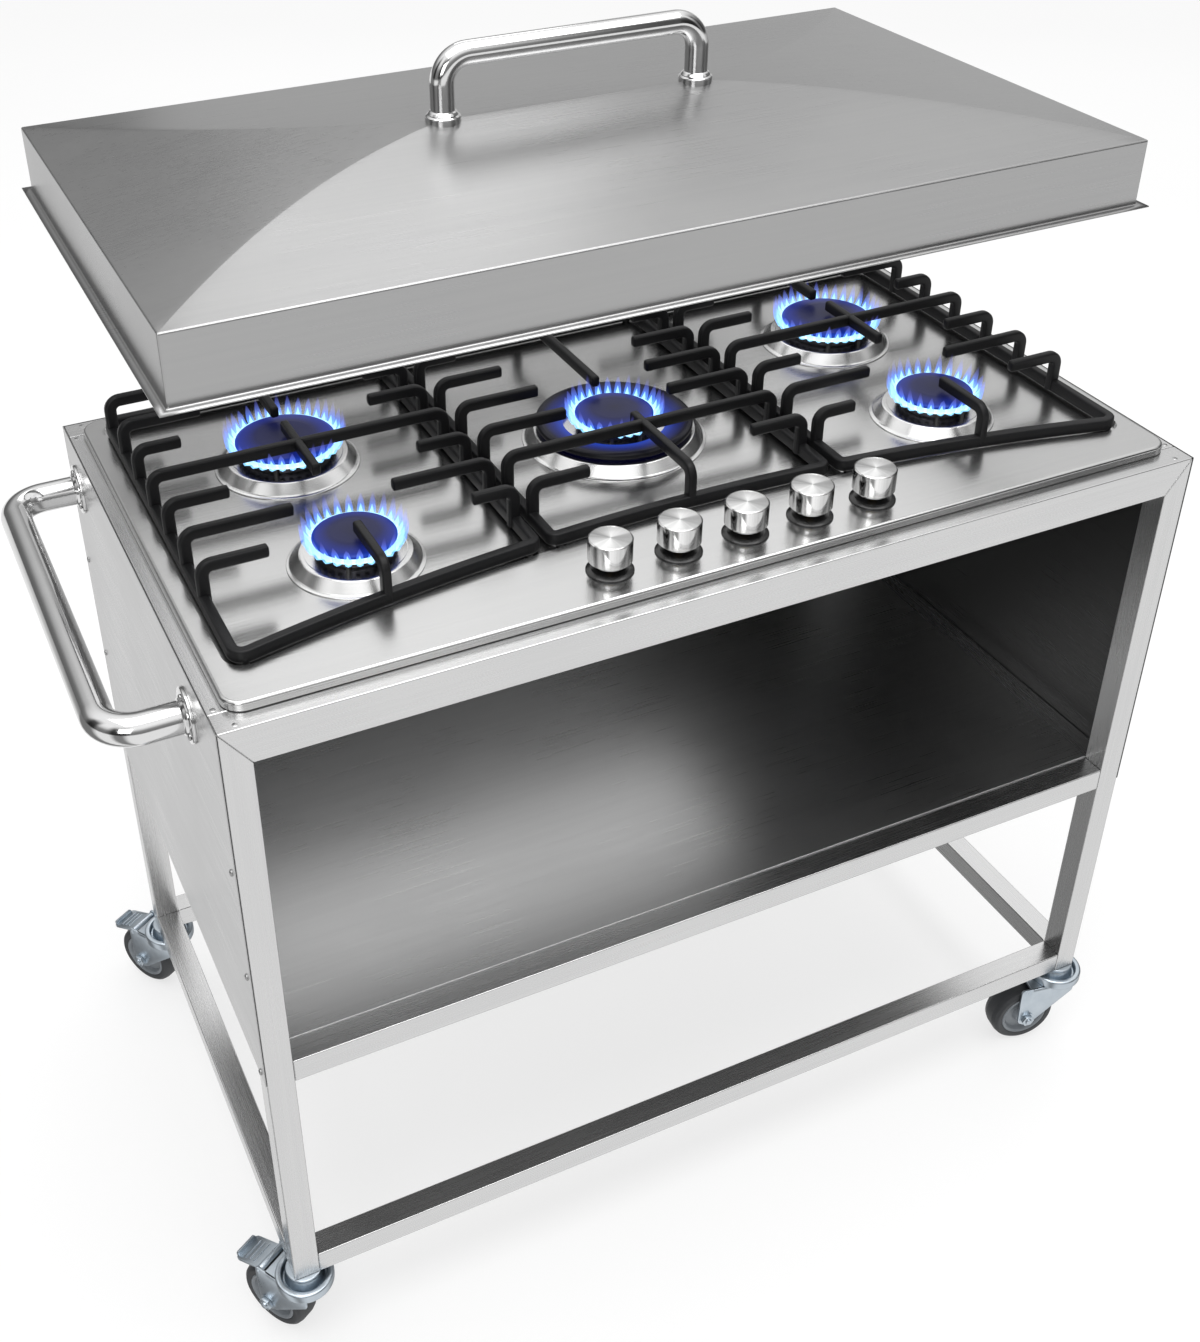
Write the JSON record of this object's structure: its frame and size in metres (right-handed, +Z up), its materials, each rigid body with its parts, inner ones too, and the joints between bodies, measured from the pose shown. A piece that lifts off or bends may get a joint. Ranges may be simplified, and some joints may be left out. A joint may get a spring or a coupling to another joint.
{
  "type": "propane stove cart",
  "caption": "Stainless steel propane stove cart with a gas hob, cast pan supports, push knobs, an open shelf bay, an end push handle and a hipped lift-off lid, on swivel casters.",
  "frame": {"origin": "on the floor, under the middle of the tube frame", "axes": "+X along the length, away from the push handle; +Y to the back, away from the knobs; +Z up"},
  "size_m": [1.027, 0.6625, 1.1242],
  "materials": {
    "brushed_frame": "brushed along each tube",
    "brushed_sheet": "brushed sheet",
    "satin_hob": "fine satin brushing along the length",
    "brushed_lid": "brushed sheet, bright",
    "polished_tube": "mirror polished",
    "screw_steel": "plain",
    "seal_rubber": "matt black",
    "galvanised": "plain zinc-coated sheet",
    "pipe_steel": "plain",
    "valve_brass": "turned",
    "pipe_aluminium": "drawn",
    "polished_dish": "polished, spun",
    "cast_aluminium": "cast",
    "black_enamel": "matt black enamel",
    "black_cast_iron": "satin black coated",
    "black_ceramic": "dark ceramic and wire",
    "black_plastic": "satin black",
    "spun_knob": "spun top, bright sides",
    "zinc_plate": "bluish zinc plate, satin",
    "grey_tyre": "dark grey tread on a grey hub"
  },
  "bodies": {
    "cart": {"front_legs": "brushed_frame", "rear_legs": "brushed_frame", "top_long_tubes": "brushed_frame", "top_side_tubes": "brushed_frame", "shelf_long_rails": "brushed_frame", "shelf_side_rails": "brushed_frame", "lower_long_rails": "brushed_frame", "lower_side_rails": "brushed_frame", "shelf_sheet": "brushed_sheet", "left_side_panel": "brushed_sheet", "right_side_panel": "brushed_sheet", "back_panel": "brushed_sheet", "panel_screws": "screw_steel", "push_handle": "polished_tube", "push_handle_flanges": "polished_tube", "push_handle_screws": "screw_steel", "hob_panel": "satin_hob", "hob_seal": "seal_rubber", "hob_underbox": "galvanised", "gas_manifold": "pipe_steel", "gas_valves": "valve_brass", "burner_feed_pipes": "pipe_aluminium", "burner_dishes": "polished_dish", "burner_heads": "cast_aluminium", "burner_caps": "black_enamel", "outer_flame_ring": "black_enamel", "igniter_pins": "black_ceramic", "knob_bezels": "black_plastic", "caster_stems": "zinc_plate"},
    "stem_1": {"valve_stem_1": "valve_brass"},
    "knob_1": {"knob_1": "spun_knob"},
    "stem_2": {"valve_stem_2": "valve_brass"},
    "knob_2": {"knob_2": "spun_knob"},
    "stem_3": {"valve_stem_3": "valve_brass"},
    "knob_3": {"knob_3": "spun_knob"},
    "stem_4": {"valve_stem_4": "valve_brass"},
    "knob_4": {"knob_4": "spun_knob"},
    "stem_5": {"valve_stem_5": "valve_brass"},
    "knob_5": {"knob_5": "spun_knob"},
    "left_pan_support": {"left_pan_support": "black_cast_iron"},
    "centre_pan_support": {"centre_pan_support": "black_cast_iron"},
    "right_pan_support": {"right_pan_support": "black_cast_iron"},
    "front_left_fork": {"front_left_fork": "zinc_plate", "front_left_axle": "zinc_plate"},
    "front_left_wheel": {"front_left_wheel": "grey_tyre"},
    "front_left_pedal": {"front_left_brake_pedal": "zinc_plate"},
    "front_right_fork": {"front_right_fork": "zinc_plate", "front_right_axle": "zinc_plate"},
    "front_right_wheel": {"front_right_wheel": "grey_tyre"},
    "rear_left_fork": {"rear_left_fork": "zinc_plate", "rear_left_axle": "zinc_plate"},
    "rear_left_wheel": {"rear_left_wheel": "grey_tyre"},
    "rear_left_pedal": {"rear_left_brake_pedal": "zinc_plate"},
    "rear_right_fork": {"rear_right_fork": "zinc_plate", "rear_right_axle": "zinc_plate"},
    "rear_right_wheel": {"rear_right_wheel": "grey_tyre"},
    "lid": {"lid_shell": "brushed_lid", "lid_handle": "polished_tube", "lid_handle_collars": "polished_tube"}
  },
  "joints": [
    {"name": "lid_lift", "type": "slide", "parent": "cart", "child": "lid", "axis": [0.0682, 0.5455, 0.8353], "range_m": [-0.23464, 0]},
    {"name": "knob_1_push", "type": "slide", "parent": "cart", "child": "stem_1", "axis": [0, 0, -1], "range_m": [0, 0.003], "stiffness_N_per_m": 1500, "springref_m": -0.001},
    {"name": "knob_1_turn", "type": "hinge", "parent": "stem_1", "child": "knob_1", "pos_m": [-0.112, -0.205, 0.795], "axis": [0, 0, 1], "range_deg": [0, 210]},
    {"name": "knob_2_push", "type": "slide", "parent": "cart", "child": "stem_2", "axis": [0, 0, -1], "range_m": [0, 0.003], "stiffness_N_per_m": 1500, "springref_m": -0.001},
    {"name": "knob_2_turn", "type": "hinge", "parent": "stem_2", "child": "knob_2", "pos_m": [-0.047, -0.205, 0.795], "axis": [0, 0, 1], "range_deg": [0, 210]},
    {"name": "knob_3_push", "type": "slide", "parent": "cart", "child": "stem_3", "axis": [0, 0, -1], "range_m": [0, 0.003], "stiffness_N_per_m": 1500, "springref_m": -0.001},
    {"name": "knob_3_turn", "type": "hinge", "parent": "stem_3", "child": "knob_3", "pos_m": [0.018, -0.205, 0.795], "axis": [0, 0, 1], "range_deg": [0, 210]},
    {"name": "knob_4_push", "type": "slide", "parent": "cart", "child": "stem_4", "axis": [0, 0, -1], "range_m": [0, 0.003], "stiffness_N_per_m": 1500, "springref_m": -0.001},
    {"name": "knob_4_turn", "type": "hinge", "parent": "stem_4", "child": "knob_4", "pos_m": [0.083, -0.205, 0.795], "axis": [0, 0, 1], "range_deg": [0, 210]},
    {"name": "knob_5_push", "type": "slide", "parent": "cart", "child": "stem_5", "axis": [0, 0, -1], "range_m": [0, 0.003], "stiffness_N_per_m": 1500, "springref_m": -0.001},
    {"name": "knob_5_turn", "type": "hinge", "parent": "stem_5", "child": "knob_5", "pos_m": [0.148, -0.205, 0.795], "axis": [0, 0, 1], "range_deg": [0, 210]},
    {"name": "left_pan_support_lift", "type": "slide", "parent": "cart", "child": "left_pan_support", "axis": [0, 0, 1], "range_m": [0, 0.08]},
    {"name": "centre_pan_support_lift", "type": "slide", "parent": "cart", "child": "centre_pan_support", "axis": [0, 0, 1], "range_m": [0, 0.08]},
    {"name": "right_pan_support_lift", "type": "slide", "parent": "cart", "child": "right_pan_support", "axis": [0, 0, 1], "range_m": [0, 0.08]},
    {"name": "front_left_swivel", "type": "hinge", "parent": "cart", "child": "front_left_fork", "pos_m": [-0.4525, -0.25, 0.09], "axis": [0, 0, 1], "continuous": true},
    {"name": "front_left_roll", "type": "hinge", "parent": "front_left_fork", "child": "front_left_wheel", "pos_m": [-0.471, -0.21796, 0.0375], "axis": [-0.866, -0.5, 0], "continuous": true},
    {"name": "front_left_brake", "type": "hinge", "parent": "front_left_fork", "child": "front_left_pedal", "pos_m": [-0.475, -0.21103, 0.079], "axis": [-0.866, -0.5, 0], "range_deg": [0, 15]},
    {"name": "front_right_swivel", "type": "hinge", "parent": "cart", "child": "front_right_fork", "pos_m": [0.4525, -0.25, 0.09], "axis": [0, 0, 1], "continuous": true},
    {"name": "front_right_roll", "type": "hinge", "parent": "front_right_fork", "child": "front_right_wheel", "pos_m": [0.41606, -0.24358, 0.0375], "axis": [-0.1736, -0.9848, 0], "continuous": true},
    {"name": "rear_left_swivel", "type": "hinge", "parent": "cart", "child": "rear_left_fork", "pos_m": [-0.4525, 0.25, 0.09], "axis": [0, 0, 1], "continuous": true},
    {"name": "rear_left_roll", "type": "hinge", "parent": "rear_left_fork", "child": "rear_left_wheel", "pos_m": [-0.47211, 0.28138, 0.0375], "axis": [-0.848, -0.5299, 0], "continuous": true},
    {"name": "rear_left_brake", "type": "hinge", "parent": "rear_left_fork", "child": "rear_left_pedal", "pos_m": [-0.47635, 0.28816, 0.079], "axis": [-0.848, -0.5299, 0], "range_deg": [0, 15]},
    {"name": "rear_right_swivel", "type": "hinge", "parent": "cart", "child": "rear_right_fork", "pos_m": [0.4525, 0.25, 0.09], "axis": [0, 0, 1], "continuous": true},
    {"name": "rear_right_roll", "type": "hinge", "parent": "rear_right_fork", "child": "rear_right_wheel", "pos_m": [0.41773, 0.26266, 0.0375], "axis": [-0.342, -0.9397, 0], "continuous": true}
  ]
}
